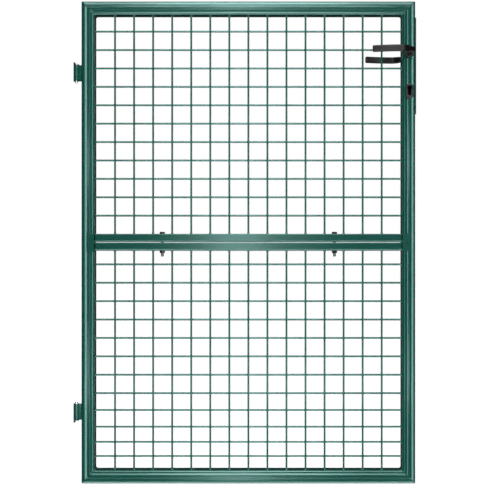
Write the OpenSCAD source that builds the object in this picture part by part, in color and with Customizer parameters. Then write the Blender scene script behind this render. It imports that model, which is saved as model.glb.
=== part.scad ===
// Garden gate leaf of roll-formed rebated tube with welded mesh, two bolted
// mid rails, a lever lock and two pin hinges, ready to screw to a post.
//
// Frame: X runs from the post towards the lock, Y from front to back, Z up.
// The origin is the centre of the lower bracket's flat face, where it meets
// the post.  Millimetres throughout.

/* [Leaf] */
// Width of the leaf over its stiles
leaf_w = 866; // [700:2:1200]
// Height of the leaf over its rails
leaf_h = 1250; // [1000:2:1600]

/* [Frame tube] */
// Width of the tube as seen from the front
tube_w = 34; // [30:1:40]
// Depth of the tube from front to back
tube_d = 38; // [34:1:50]
// Wall thickness of the tube
tube_wall = 1.5; // [1.2:0.1:2]
// Width of the proud outer band
band_w = 14; // [12:0.5:15]
// Depth of the rebate behind the band
rebate_d = 3.5; // [2.5:0.1:4]
// Radius of the outer front corner
outer_r = 5; // [3:0.5:6]
// Radius of the two back corners
back_r = 3; // [2:0.5:5]
// Height of the stiffening ridges over the rebate's floor
ridge_rise = 1.2; // [0.8:0.1:1.5]

/* [Mid rails] */
// Height of one mid rail
mid_h = 21.5; // [18:0.5:30]
// Depth of a mid rail from front to back
mid_d = 30; // [26:1:34]
// Gap between the two mid rails
mid_gap = 1; // [1:0.5:4]
// Height of the gap above the middle of the leaf
mid_rise = 0.5; // [-200:0.5:200]
// Thickness of the tab that laps over the rebate's ridges
tab_t = 1.8; // [1.5:0.1:1.9]
// How far the tab's end spreads above or below the rail
tab_flare = 2; // [0:0.5:4]
// Length over which the two tabs close the gap between them
tab_shut = 7; // [4:1:10]

/* [Mesh] */
// Thickness of a mesh wire
wire_d = 5; // [3:0.5:6]
// Spacing of the upright wires
upright_pitch = 49.6; // [40:0.1:60]
// Number of upright wires
upright_count = 15; // [11:2:15]
// Spacing of the level wires
level_pitch = 48; // [40:0.1:60]
// Distance from the leaf's top edge to the first level wire
first_level = 75; // [60:1:90]
// Distance from the mid rails to the level wire below them
first_lower_level = 35.5; // [25:0.5:50]
// Depth of the upright wires behind the front
mesh_depth = 16; // [14:0.5:20]
// How far crossing wires melt into each other
weld_sink = 0.6; // [0.3:0.1:1]

/* [Bolts] */
// Distance of each bolt from the middle of the leaf
bolt_x = 224; // [120:1:300]
// Thread diameter of the bolts
bolt_d = 8; // [6:1:10]
// Width across the flats of head and nut
hex_af = 13; // [10:1:17]
// Height of the bolt head
head_h = 5.3; // [4:0.1:7]
// Height of the nut
nut_h = 6; // [5:0.1:8]
// Length of thread below the lower mid rail
thread_out = 15; // [10:1:25]

/* [Hinges] */
// Outer diameter of the barrel
barrel_d = 15; // [14:0.5:20]
// Length of the barrel
barrel_l = 42; // [34:1:60]
// Diameter of the hinge pin
pin_d = 10; // [8:0.5:10]
// Distance from the pin's axis to the leaf
pin_out = 13.5; // [13:0.5:20]
// Thickness of the strap between barrel and stile
strap_t = 8; // [5:0.5:10]
// Distance from the leaf's end to the barrel
hinge_inset = 165; // [100:5:300]
// Length of the pin's tip past the barrel
tip_l = 4.5; // [3:0.5:8]
// Height of the arm at the barrel's outer end
arm_h = 8.5; // [8:0.5:16]
// Thickness of the plate on the post
plate_t = 4; // [3:0.5:6]
// Depth of the plate on the post
plate_d = 30; // [25:1:50]
// Gap between the post and the barrel
post_gap = 2.5; // [1:0.5:6]
// Diameter of the two screw holes
screw_hole_d = 6.6; // [5:0.1:7]
// Spacing of the two screw holes
screw_pitch = 26; // [22:1:28]

/* [Lock] */
// Distance of the spindle below the top of the leaf
spindle_drop = 134.5; // [110:0.5:200]
// Distance of the spindle from the leaf's edge
backset = 16; // [15:0.5:16.5]
// Distance from the spindle down to the key cylinder
key_drop = 90; // [72:1:110]
// Length of the lock's face plate
face_l = 250; // [220:1:300]
// Width of the lock's face plate
face_w = 30; // [26:1:32]
// Thickness of the lock's face plate
face_t = 2; // [2:0.5:4]
// Diameter of the face plate's two screws
face_screw_d = 5; // [4:0.5:6]
// Distance of those screws from the face plate's ends
face_screw_in = 12; // [8:1:16]
// Distance from the spindle up to the face plate's top
face_above = 92.5; // [80:0.5:100]
// Length of the lock case
case_l = 200; // [180:1:210]
// Depth of the lock case from front to back
case_d = 20; // [18:1:22]

/* [Handle] */
// Diameter of the rose
rose_d = 24; // [22:0.5:28]
// Thickness of the rose
rose_t = 5; // [3:0.5:8]
// Diameter of the lever's round neck
neck_d = 14; // [12:0.5:16]
// Distance from the leaf's face to the middle of the grip
grip_out = 66; // [52:1:75]
// Length of the lever from the spindle to its tip
grip_l = 102; // [85:1:130]
// Height of the grip
grip_h = 16.5; // [14:0.5:20]
// Thickness of the grip
grip_t = 11; // [9:0.5:12]
// Radius of the grip's long edges
grip_r = 3; // [1.5:0.5:4]
// Distance from the spindle to the edge where the grip's front turns flat
grip_start = 23; // [20:1:28]
// Angle of the sloping front between neck and grip
grip_slope = 35; // [28:1:38]
// How far the tip turns back towards the leaf
tip_return = 11; // [0:1:15]
// Width across the flats of the square spindle
spindle_af = 8; // [7:1:8]

/* [Keyhole plates] */
// Width of the keyhole plate
key_plate_w = 19.5; // [17:0.5:24]
// Height of the keyhole plate
key_plate_h = 40.5; // [36:0.5:50]
// Radius of the plate's corners
key_plate_r = 8; // [3:0.5:8]
// Distance of the plate's middle below the key cylinder's round top
key_plate_drop = 8.5; // [7:0.5:11]
// Thickness of the keyhole plate
key_plate_t = 2.5; // [2:0.5:4]
// Diameter of the round top of the key cylinder
key_d = 12; // [11:0.5:13]
// Width of the key cylinder's lower part
key_stem_w = 9; // [7:0.5:9]
// Overall height of the key cylinder
key_h = 25.5; // [21:0.5:27]
// How far the key cylinder lies behind the keyhole plate
key_set = 10; // [1:0.5:12]

/* [Hidden] */
$fn = 48;
eps = 0.01;
low_bays = [44, 43.5, 39.5, 37]; // last bays of the lower panel, from the top one down
run = 0.05;      // radial clearance of a part that turns
seat = 0.3;      // clearance of a part that is fitted loosely
band_slope = 5;  // width of the slope from the band down to the rebate
flute_sink = 0.5; // how far the flute between the ridges lies below the rebate
edge_turn = 2;   // depth by which the front turns into the inner side
barrel_step = 5; // distance from the plate's front edge to the barrel
plate_cut = 5;   // how much shorter the post plate is than arm and barrel
arm_seat = 2;    // depth of the pin's socket in the arm
arm_lip = 1.5;   // height of the arm's low end
bolt_w = 12;     // thickness of latch and dead bolt
latch_h = 22;    // height of latch and dead bolt
boss_wall = 1.5; // wall of the rose's boss round the neck
boss_l = 6;      // length of the boss inside the stile
square_l = 10;   // length of the square spindle inside each lever

pin_x = post_gap + barrel_d / 2;
pin_y = -plate_d / 2 - barrel_step - barrel_d / 2;
leaf_x0 = pin_x + pin_out;
leaf_x1 = leaf_x0 + leaf_w;
leaf_xm = leaf_x0 + leaf_w / 2;
front_y = pin_y - barrel_d / 2;
back_y = front_y + tube_d;
ridge_v = rebate_d - ridge_rise;
plate_h = barrel_l + arm_h - plate_cut;
leaf_z0 = -hinge_inset - plate_h / 2 + arm_h;
leaf_z1 = leaf_z0 + leaf_h;

mid_z = (leaf_z0 + leaf_z1) / 2 + mid_rise;
mid_top = mid_z + mid_gap / 2 + mid_h;
mid_bottom = mid_z - mid_gap / 2 - mid_h;
mid_y = front_y + ridge_v - tab_t;
open_x0 = leaf_x0 + tube_w;
open_x1 = leaf_x1 - tube_w;
open_z0 = leaf_z0 + tube_w;
open_z1 = leaf_z1 - tube_w;

spindle_x = leaf_x1 - backset;
spindle_z = leaf_z1 - spindle_drop;
key_z = spindle_z - key_drop;
face_z1 = spindle_z + face_above;
face_z0 = face_z1 - face_l;
case_z0 = (face_z0 + face_z1) / 2 - case_l / 2;
lock_y = front_y + tube_d / 2;
boss_d = neck_d + 2 * boss_wall;

// ---- Frame tube ----------------------------------------------------------

// points on an arc from angle a0 to a1 about c
function arc(c, r, a0, a1, n = 6) =
    [for (i = [0:n]) let (a = a0 + (a1 - a0) * i / n) c + r * [cos(a), sin(a)]];

// a place on the rebate, as a share of its width from the band inwards
function rebate_u(share) = band_w + share * (tube_w - band_w);

// outline of the tube: u inwards from the leaf's edge, v back from the front
function tube_outline() = concat(
    arc([outer_r, outer_r], outer_r, 180, 270),
    [[band_w - band_slope, 0], [band_w, rebate_d], [rebate_u(0.24), rebate_d],
     [rebate_u(0.34), ridge_v], [rebate_u(0.46), ridge_v],
     [rebate_u(0.57), rebate_d + flute_sink], [rebate_u(0.66), rebate_d + flute_sink],
     [rebate_u(0.77), ridge_v], [rebate_u(0.92), ridge_v], [tube_w, ridge_v + edge_turn]],
    arc([tube_w - back_r, tube_d - back_r], back_r, 0, 90),
    arc([back_r, tube_d - back_r], back_r, 90, 180));

// the hollow inside: plain, one wall behind the deepest part of the outline
function tube_hollow() =
    let (w = tube_wall, v = rebate_d + flute_sink + w, r = back_r - w)
    concat(arc([outer_r, outer_r], outer_r - w, 180, 250),
           [[band_w - band_slope - w / 3, w], [band_w - w / 2, v], [tube_w - w, v]],
           arc([tube_w - w - r, tube_d - w - r], r, 0, 90),
           arc([w + r, tube_d - w - r], r, 90, 180));

module tube(length) {
    linear_extrude(length) difference() {
        polygon(tube_outline());
        polygon(tube_hollow());
    }
}

// mitred tube along +Z that stands on the leaf's corner, band outside
module mitred_tube(length) {
    intersection() {
        tube(length);
        translate([0, tube_d + 1, 0]) rotate([90, 0, 0])
            linear_extrude(tube_d + 2)
                polygon([[-1, -1], [tube_w + 1, tube_w + 1],
                         [tube_w + 1, length - tube_w - 1], [-1, length + 1]]);
    }
}

module left_stile() {
    color("#165c50") translate([leaf_x0, front_y, leaf_z0]) mitred_tube(leaf_h);
}

module right_stile() {
    color("#165c50") difference() {
        translate([leaf_x1, front_y, leaf_z0]) mirror([1, 0, 0]) mitred_tube(leaf_h);
        // slot for the lock case in the outer wall
        translate([leaf_x1 - tube_wall - 1, lock_y - case_d / 2 - seat, case_z0 - seat])
            cube([tube_wall + 2, case_d + 2 * seat, case_l + 2 * seat]);
        // holes for the bosses of the roses
        at_spindle(front_y - 1) cylinder(d = boss_d + 2 * seat, h = tube_d + 2);
        // hole for the key cylinder
        at_key(front_y - 1) key_shape(tube_d + 2, seat);
    }
}

// top and bottom rails are tubes laid along X
module top_rail() {
    color("#165c50") translate([leaf_x0, front_y, leaf_z1])
        multmatrix([[0, 0, 1, 0], [0, 1, 0, 0], [-1, 0, 0, 0], [0, 0, 0, 1]])
            mitred_tube(leaf_w);
}

module bottom_rail() {
    color("#165c50") translate([leaf_x0, front_y, leaf_z0])
        multmatrix([[0, 0, 1, 0], [0, 1, 0, 0], [1, 0, 0, 0], [0, 0, 0, 1]])
            mitred_tube(leaf_w);
}

// ---- Mid rails -----------------------------------------------------------

// front of one rail: x from the middle of the leaf, z up from the gap's middle;
// its ends lap over the rebates, spread a little and close the gap
function mid_front() =
    let (half = leaf_w / 2, edge = half - tube_w, lap = half - band_w,
         low = mid_gap / 2, high = low + mid_h,
         right = [[edge, low], [lap - tab_shut, low], [lap - tab_shut, 0], [lap, 0],
                  [lap, high + tab_flare], [edge, high]])
    concat(right, [for (i = [len(right) - 1 : -1 : 0]) [-right[i][0], right[i][1]]]);

// the upper rail, from the gap's middle upwards
module mid_rail() {
    low = mid_gap / 2;
    difference() {
        union() {
            translate([open_x0, mid_y, low]) cube([open_x1 - open_x0, mid_d, mid_h]);
            translate([leaf_xm, mid_y + tab_t, 0]) rotate([90, 0, 0])
                linear_extrude(tab_t) polygon(mid_front());
        }
        translate([open_x0 - 1, mid_y + tab_t, low + tube_wall])
            cube([open_x1 - open_x0 + 2, mid_d - tab_t - tube_wall, mid_h - 2 * tube_wall]);
        for (side = [-1, 1])
            translate([leaf_xm + side * bolt_x, mid_y + mid_d / 2, low - 1])
                cylinder(d = bolt_d + 1, h = mid_h + 2);
    }
}

module upper_mid_rail() {
    color("#165c50") translate([0, 0, mid_z]) mid_rail();
}

module lower_mid_rail() {
    color("#165c50") translate([0, 0, mid_z]) mirror([0, 0, 1]) mid_rail();
}

// ---- Mesh ----------------------------------------------------------------

module mesh(z0, z1, levels) {
    cross = wire_d - weld_sink;
    for (i = [0:upright_count - 1])
        translate([leaf_xm + (i - (upright_count - 1) / 2) * upright_pitch,
                   front_y + mesh_depth, z0])
            cylinder(d = wire_d, h = z1 - z0, $fn = 8);
    for (z = levels)
        translate([open_x0, front_y + mesh_depth + cross, z])
            rotate([0, 90, 0]) cylinder(d = wire_d, h = open_x1 - open_x0, $fn = 8);
}

upper_levels = [for (z = [leaf_z1 - first_level : -level_pitch : mid_top + wire_d]) z];

// sum of the first n values of a list
function total(list, n) = n == 0 ? 0 : list[n - 1] + total(list, n - 1);

// level wires of the lower panel: even bays, then the closer ones
lower_first = mid_bottom - first_lower_level;
even_last = open_z0 + total(low_bays, len(low_bays)) + level_pitch / 2;
even_levels = [for (z = [lower_first : -level_pitch : even_last]) z];
even_end = even_levels[len(even_levels) - 1];
lower_levels = concat(even_levels,
    [for (n = [1:len(low_bays)]) even_end - total(low_bays, n)]);

module upper_mesh() {
    color("#165c50") mesh(mid_top, open_z1, upper_levels);
}

module lower_mesh() {
    color("#165c50") mesh(open_z0, mid_bottom, lower_levels);
}

// ---- Bolts through the mid rails -----------------------------------------

module hex(h) {
    cylinder(d = hex_af / cos(30), h = h, $fn = 6);
}

module bolt(side) {
    color("#8c8f8e") translate([leaf_xm + side * bolt_x, mid_y + mid_d / 2, 0]) {
        translate([0, 0, mid_top]) hex(head_h);
        translate([0, 0, mid_bottom - thread_out])
            cylinder(d = bolt_d, h = mid_top - mid_bottom + thread_out + eps);
    }
}

module nut(side) {
    color("#8c8f8e") translate([leaf_xm + side * bolt_x, mid_y + mid_d / 2,
                                mid_bottom - nut_h])
        difference() {
            hex(nut_h);
            translate([0, 0, -1]) cylinder(d = bolt_d + 2 * run, h = nut_h + 2);
        }
}

// ---- Hinges --------------------------------------------------------------

// places a hinge drawn with z = 0 at the barrel's outer end, growing inwards
module at_upper_hinge() {
    translate([pin_x, pin_y, leaf_z1 - hinge_inset]) mirror([0, 0, 1]) children();
}

module at_lower_hinge() {
    translate([pin_x, pin_y, leaf_z0 + hinge_inset]) children();
}

module barrel() {
    difference() {
        union() {
            cylinder(d = barrel_d, h = barrel_l);
            translate([0, -strap_t / 2, 0]) cube([pin_out, strap_t, barrel_l]);
        }
        translate([0, 0, -1]) cylinder(d = pin_d + 2 * run, h = barrel_l + 2);
    }
}

module bracket() {
    arm_y1 = -pin_y + plate_d / 2;
    difference() {
        union() {
            // arm over the barrel's end: round about the pin, sloping down
            intersection() {
                translate([0, 0, -arm_h]) linear_extrude(arm_h) union() {
                    circle(d = barrel_d);
                    translate([-barrel_d / 2, 0]) square([barrel_d, arm_y1]);
                }
                translate([0, arm_y1, 0]) rotate([90, 0, 0])
                    linear_extrude(arm_y1 + barrel_d)
                        polygon([[-barrel_d / 2, -seat], [barrel_d / 2, -seat],
                                 [barrel_d / 2, -arm_lip], [-barrel_d / 2, -arm_h]]);
            }
            // plate on the post
            translate([-pin_x, -pin_y - plate_d / 2, -arm_h])
                cube([plate_t, plate_d, plate_h]);
            // neck that joins the arm to the plate
            translate([-pin_x, -pin_y - plate_d / 2, -arm_h])
                cube([post_gap + plate_t, plate_d, arm_h - seat]);
        }
        translate([0, 0, -seat - arm_seat]) cylinder(d = pin_d + 2 * run, h = arm_seat + 1);
        for (side = [-1, 1])
            translate([-pin_x - 1, -pin_y, plate_h / 2 - arm_h + side * screw_pitch / 2])
                rotate([0, 90, 0]) cylinder(d = screw_hole_d, h = barrel_d * 3);
    }
}

module pin() {
    translate([0, 0, -seat - arm_seat])
        cylinder(d = pin_d, h = barrel_l + tip_l / 2 + arm_seat + seat);
    translate([0, 0, barrel_l + tip_l / 2 - eps])
        cylinder(d1 = pin_d, d2 = pin_d / 2, h = tip_l / 2);
}

// ---- Lock ----------------------------------------------------------------

module at_spindle(y) {
    translate([spindle_x, y, spindle_z]) rotate([-90, 0, 0]) children();
}

module at_key(y) {
    translate([spindle_x, y, key_z]) rotate([-90, 0, 0]) children();
}

// key cylinder's outline, grown by a clearance: round top over a narrow stem
module key_shape(h, grow = 0) {
    stem = key_h - key_d / 2 - key_stem_w / 2;
    linear_extrude(h) {
        circle(d = key_d + 2 * grow);
        translate([-key_stem_w / 2 - grow, 0]) square([key_stem_w + 2 * grow, stem]);
        translate([0, stem]) circle(d = key_stem_w + 2 * grow);
    }
}

module lock_case() {
    color("#b4b6b4") difference() {
        translate([leaf_x1 - tube_w + tube_wall + seat, lock_y - case_d / 2, case_z0])
            cube([tube_w - tube_wall - seat, case_d, case_l]);
        at_spindle(front_y) cylinder(d = boss_d, h = tube_d);
        at_key(front_y) key_shape(tube_d, seat);
    }
}

module lock_face_plate() {
    color("#151515") difference() {
        translate([leaf_x1, lock_y - face_w / 2, face_z0]) cube([face_t, face_w, face_l]);
        for (z = [spindle_z, key_z])
            translate([leaf_x1 - 1, lock_y - bolt_w / 2 - seat, z - latch_h / 2 - seat])
                cube([face_t + 2, bolt_w + 2 * seat, latch_h + 2 * seat]);
        for (z = [face_z0 + face_screw_in, face_z1 - face_screw_in])
            translate([leaf_x1 - 1, lock_y, z]) rotate([0, 90, 0])
                cylinder(d = face_screw_d + 2 * run, h = face_t + 2);
    }
}

module flush_bolt(z) {
    color("#8c8f8e") translate([leaf_x1, lock_y - bolt_w / 2, z - latch_h / 2])
        cube([face_t, bolt_w, latch_h]);
}

module plate_screw(z) {
    color("#8c8f8e") translate([leaf_x1, lock_y, z]) rotate([0, 90, 0])
        cylinder(d = face_screw_d, h = face_t);
}

module key_cylinder() {
    color("#0c0c0c") at_key(front_y - key_plate_t + key_set)
        key_shape(tube_d + 2 * key_plate_t - 2 * key_set);
}

// rectangle with round corners about its middle
module round_rect(w, h, r) {
    for (x = [-1, 1], y = [-1, 1]) translate([x * (w / 2 - r), y * (h / 2 - r)]) circle(r);
    square([w, h - 2 * r], center = true);
    square([w - 2 * r, h], center = true);
}

module keyhole_plate(y) {
    color("#2b2d2d") difference() {
        at_key(y) translate([0, key_plate_drop]) linear_extrude(key_plate_t)
            round_rect(key_plate_w, key_plate_h, key_plate_r);
        at_key(y - 1) key_shape(key_plate_t + 2, seat);
    }
}

// ---- Handle --------------------------------------------------------------

// a rose drawn with z = 0 on the leaf's face and +z outwards
module rose() {
    color("#151515") difference() {
        union() {
            cylinder(d = rose_d, h = rose_t);
            translate([0, 0, -boss_l]) cylinder(d = boss_d, h = boss_l + eps);
        }
        translate([0, 0, -boss_l - 1])
            cylinder(d = neck_d + 2 * run, h = boss_l + rose_t + 2);
    }
}

// The lever seen from above: u from the spindle to the tip, v out from the leaf.
// The neck ends in a sloping cut, which runs on as the grip's sloping front up to
// a sharp edge; from there the grip is flat and turns back a little to its tip.
front_v = grip_out + grip_t / 2;
cut_right = front_v - (grip_start + neck_d / 2) * tan(grip_slope);
cut_left = front_v - (grip_start - neck_d / 2) * tan(grip_slope) - grip_t / cos(grip_slope);
cut_tilt = atan2(cut_left - cut_right, neck_d);
edge_tilt = grip_slope / 2;
edge_out = grip_t / 2 / cos(edge_tilt);
tip_round = 1.5;

// ring of 16 points about p, square to the direction ang in the u-v plane: a box
// of half height a and half thickness b with corners of radius r
function ring(p, ang, a, b, r) =
    [for (q = [0:3], i = [0:3])
        let (t = 90 * q + 11.25 + 22.5 * i, side = 90 * q + 45,
             h = r * sin(t) + sign(sin(side)) * (a - r),
             w = r * cos(t) + sign(cos(side)) * (b - r))
        [p[0] - w * sin(ang), p[1] + w * cos(ang), h]];

// point of the grip's middle line at share t of its way from the edge to the tip
edge_p = [grip_start + edge_out * sin(edge_tilt), front_v - edge_out * cos(edge_tilt)];
function grip_p(t) = [edge_p[0] + (grip_l - edge_p[0]) * t, edge_p[1] - tip_return * t * t];
function grip_a(t) = atan2(-2 * tip_return * t, grip_l - edge_p[0]);
function grip_ring(t, less = 0) =
    ring(grip_p(t), grip_a(t), grip_h / 2 - less, grip_t / 2 - less, grip_r);

module lever_solid() {
    neck_r = neck_d / 2 - seat; // stays inside the round neck
    tip_t = 1 - tip_round / (grip_l - edge_p[0]);
    rings = concat(
        [ring([0, 0], 90, neck_r, neck_r, neck_r),
         ring([0, (cut_right + cut_left) / 2], 90 + cut_tilt,
              neck_r, neck_r / cos(cut_tilt), neck_r),
         ring(edge_p, edge_tilt, grip_h / 2, edge_out, grip_r)],
        [for (t = [0.25 : 0.25 : 0.75]) grip_ring(t)],
        [grip_ring(tip_t), grip_ring(1, tip_round)]);
    n = len(rings);
    points = [for (r = rings) each r];
    sides = [for (i = [0:n - 2], j = [0:15]) let (k = (j + 1) % 16)
        [i * 16 + j, (i + 1) * 16 + j, (i + 1) * 16 + k, i * 16 + k]];
    polyhedron(points, concat([[for (j = [0:15]) j]], sides,
        [[for (j = [15:-1:0]) (n - 1) * 16 + j]]));
}

// a lever drawn with z out from the leaf's face and the grip towards -x
module lever() {
    color("#151515") difference() {
        union() {
            translate([0, 0, -boss_l]) cylinder(d = neck_d, h = boss_l + cut_left - 1);
            multmatrix([[-1, 0, 0, 0], [0, 0, 1, 0], [0, 1, 0, 0], [0, 0, 0, 1]])
                lever_solid();
        }
        translate([0, 0, -boss_l - 1]) rotate(45)
            cylinder(d = spindle_af * sqrt(2) + 2 * run, h = boss_l + square_l + 2, $fn = 4);
    }
}

module at_front() {
    translate([spindle_x, front_y, spindle_z]) rotate([90, 0, 0]) children();
}

module at_back() {
    translate([spindle_x, back_y, spindle_z]) mirror([0, 1, 0]) rotate([90, 0, 0]) children();
}

module spindle() {
    color("#8c8f8e") translate([spindle_x, front_y - square_l, spindle_z]) rotate([-90, 0, 0])
        rotate(45) cylinder(d = spindle_af * sqrt(2), h = tube_d + 2 * square_l, $fn = 4);
}

left_stile();
right_stile();
top_rail();
bottom_rail();
upper_mid_rail();
lower_mid_rail();
upper_mesh();
lower_mesh();
bolt(-1);  // left_bolt
bolt(1);  // right_bolt
nut(-1);  // left_nut
nut(1);  // right_nut
color("#165c50") at_upper_hinge() barrel();  // upper_barrel
color("#165c50") at_lower_hinge() barrel();  // lower_barrel
color("#a9adab") at_upper_hinge() bracket();  // upper_bracket
color("#a9adab") at_lower_hinge() bracket();  // lower_bracket
color("#a9adab") at_upper_hinge() pin();  // upper_pin
color("#a9adab") at_lower_hinge() pin();  // lower_pin
lock_case();
lock_face_plate();
flush_bolt(spindle_z);  // latch_bolt
flush_bolt(key_z);  // dead_bolt
plate_screw(face_z1 - face_screw_in);  // upper_plate_screw
plate_screw(face_z0 + face_screw_in);  // lower_plate_screw
key_cylinder();
keyhole_plate(front_y - key_plate_t);  // front_keyhole_plate
keyhole_plate(back_y);  // back_keyhole_plate
at_front() rose();  // front_rose
at_back() rose();  // back_rose
at_front() lever();  // front_lever
at_back() lever();  // back_lever
spindle();
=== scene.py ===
# %% [markdown]
# # A welded steel garden gate leaf
# The leaf is a frame of roll-formed steel tube with a welded wire mesh in it. Two square
# tubes bolted together cross its middle, pin hinges carry it at the left, and a lever lock
# closes it at the right. The construction comes packed as a fixed frame, and this lesson
# dresses it. Everything is in metres, with X towards the lock, Y away from the viewer and
# Z up. Measures that aren't read from the frame are given in millimetres.

# %% Load the fixed frame
import math

import bmesh
import bpy
from mathutils import Matrix, Vector


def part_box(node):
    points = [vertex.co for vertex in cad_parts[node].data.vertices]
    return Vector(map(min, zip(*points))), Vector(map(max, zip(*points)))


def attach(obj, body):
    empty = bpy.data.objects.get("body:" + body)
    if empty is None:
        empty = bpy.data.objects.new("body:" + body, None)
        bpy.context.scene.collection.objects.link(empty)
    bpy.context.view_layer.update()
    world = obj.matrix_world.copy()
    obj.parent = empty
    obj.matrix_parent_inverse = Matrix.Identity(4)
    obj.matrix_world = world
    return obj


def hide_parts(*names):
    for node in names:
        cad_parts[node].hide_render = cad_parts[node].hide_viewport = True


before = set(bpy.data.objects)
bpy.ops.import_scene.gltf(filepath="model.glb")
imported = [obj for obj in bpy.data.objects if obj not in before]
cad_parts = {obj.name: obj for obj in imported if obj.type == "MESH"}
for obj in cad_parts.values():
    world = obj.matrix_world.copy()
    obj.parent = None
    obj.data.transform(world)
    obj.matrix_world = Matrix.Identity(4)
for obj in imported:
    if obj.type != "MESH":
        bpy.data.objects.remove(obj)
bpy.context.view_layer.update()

MM = 0.001
scene = bpy.context.scene

# %% [markdown]
# ## Reading the leaf's measures
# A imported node's box says where it is and how large it is, so the places below come from
# boxes. The leaf's own box runs over its four frame tubes.

# %% Where the leaf is
left_lo, left_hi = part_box("left_stile")
right_lo, right_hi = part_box("right_stile")
LEAF_X0, LEAF_X1 = left_lo.x, right_hi.x
LEAF_Z0, LEAF_Z1 = left_lo.z, left_hi.z
FRONT_Y, BACK_Y = left_lo.y, left_hi.y
LEAF_XM = (LEAF_X0 + LEAF_X1) / 2
LEAF_ZM = (LEAF_Z0 + LEAF_Z1) / 2
TUBE_W = left_hi.x - left_lo.x
TUBE_D = BACK_Y - FRONT_Y
print(f"leaf {LEAF_X1 - LEAF_X0:.3f} x {LEAF_Z1 - LEAF_Z0:.3f} m, tube {TUBE_W:.3f} x {TUBE_D:.3f} m")

# %% [markdown]
# ## The camera
# The camera stands straight in front of the leaf, level with its middle. A long lens from
# two and a half metres keeps the depth of the frame small, so only a thin dark line of the
# inner sides shows. A small shift places the leaf in the view.

# %% Camera in front of the leaf
CAMERA_AWAY = 2.5
camera_data = bpy.data.cameras.new("front_camera")
camera_data.sensor_width = 36
camera_data.lens = 70.98
camera_data.shift_x = -0.0069
camera_data.shift_y = -0.0051
camera = bpy.data.objects.new("front_camera", camera_data)
camera.location = (LEAF_XM, FRONT_Y - CAMERA_AWAY, LEAF_ZM)
camera.rotation_euler = (math.radians(90), 0, 0)
scene.collection.objects.link(camera)
scene.camera = camera
scene.view_settings.view_transform = "Standard"

# %% [markdown]
# ## Colours and nodes
# Colours are written as sRGB hex values, the way a paint chart gives them, and one
# function turns them into the linear values that the renderer mixes. One more function
# adds a shader node, sets its inputs and joins it to others.

# %% Helpers for colours and shader nodes
def linear(hex_colour):
    """Linear red, green, blue and alpha of an sRGB hex colour."""
    parts = [int(hex_colour[i:i + 2], 16) / 255 for i in (1, 3, 5)]
    return [c / 12.92 if c <= 0.04045 else ((c + 0.055) / 1.055) ** 2.4 for c in parts] + [1.0]


def add_node(tree, kind, inputs=None, **settings):
    """Adds a node; an input is a value or the output socket that feeds it."""
    node = tree.nodes.new(kind)
    for name, value in settings.items():
        setattr(node, name, value)
    for socket, value in (inputs or {}).items():
        if isinstance(value, bpy.types.NodeSocket):
            tree.links.new(value, node.inputs[socket])
        else:
            node.inputs[socket].default_value = value
    return node


def new_material(name, base, **shader_inputs):
    """A material with one Principled shader; returns it with its tree, shader and coordinates."""
    material = bpy.data.materials.new(name)
    material.use_nodes = True
    tree = material.node_tree
    tree.nodes.clear()
    shader = add_node(tree, "ShaderNodeBsdfPrincipled", {"Base Color": linear(base), **shader_inputs})
    add_node(tree, "ShaderNodeOutputMaterial", {"Surface": shader.outputs[0]})
    where = add_node(tree, "ShaderNodeTexCoord").outputs["Object"]
    return material, tree, shader, where


def per_metre(size_mm):
    """Texture scale at which one feature is about this many millimetres across."""
    return 1 / (size_mm * MM)


# %% [markdown]
# ## What the finishes share
# Coated, plated and moulded surfaces are never quite even. The colour drifts slowly, and a
# finer grain changes gloss and height together. Each of the two effects is a function, and
# each finish below gives them its own real sizes in millimetres.

# %% Helpers for uneven colour and grain
def clouded(tree, shader, where, size_mm, detail, dark, light):
    """Lets the base colour drift between two colours."""
    cloud = add_node(tree, "ShaderNodeTexNoise", {"Vector": where, "Scale": per_metre(size_mm),
                                                  "Detail": detail})
    tint = add_node(tree, "ShaderNodeMix", {0: cloud.outputs["Fac"], 6: linear(dark), 7: linear(light)},
                    data_type="RGBA")
    tree.links.new(tint.outputs[2], shader.inputs["Base Color"])


def grained(tree, shader, where, size_mm, detail, low, high, strength, depth_mm):
    """Lets roughness vary between two values and height vary a little, with one grain."""
    grain = add_node(tree, "ShaderNodeTexNoise", {"Vector": where, "Scale": per_metre(size_mm),
                                                  "Detail": detail})
    rough = add_node(tree, "ShaderNodeMapRange", {"Value": grain.outputs["Fac"], "To Min": low,
                                                  "To Max": high})
    tree.links.new(rough.outputs[0], shader.inputs["Roughness"])
    bump = add_node(tree, "ShaderNodeBump", {"Height": grain.outputs["Fac"], "Strength": strength,
                                             "Distance": depth_mm * MM})
    tree.links.new(bump.outputs[0], shader.inputs["Normal"])


# %% [markdown]
# ## Green powder coat
# The leaf is coated with polyester powder, sprayed on dry and baked until it melts
# into a thick glossy skin. To the eye that gives a deep even green, a clear highlight on
# every rounded edge, and a very slight unevenness of the gloss called orange peel. The
# real dimples are 2 to 3 mm wide and a few microns deep, so only a faint bump is used.
# The wires have the same coat. Their green is written a little lighter, which is painted
# light: it makes the thin round wires look lighter than the frame.

# %% Green powder coat
def green_powder_coat(name, dark, light):
    material, tree, shader, where = new_material(name, light, Roughness=0.15, IOR=1.55)
    shader.inputs["Specular Tint"].default_value = linear("#cefff9")
    clouded(tree, shader, where, 60, 3.0, dark, light)
    grained(tree, shader, where, 2.5, 2.0, 0.12, 0.18, 0.04, 0.2)
    return material


GREEN = green_powder_coat("green_powder_coat", "#14564a", "#185e52")
# Painted light: the frame's coat written lighter for the wires.
WIRE_GREEN_PAINTED_LIGHTER = green_powder_coat("green_powder_coat_painted_lighter_on_wire", "#156458", "#196d60")
print("made", GREEN.name, WIRE_GREEN_PAINTED_LIGHTER.name)

# %% [markdown]
# ## Zinc-plated steel
# Bolts, nuts, hinge pins and post brackets are steel with a thin electroplated zinc layer.
# It is a cool grey metal with soft reflections, slightly cloudy where the plating is
# thicker, with fine lines left by forming. The bolts and nuts get darker greys.

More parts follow.
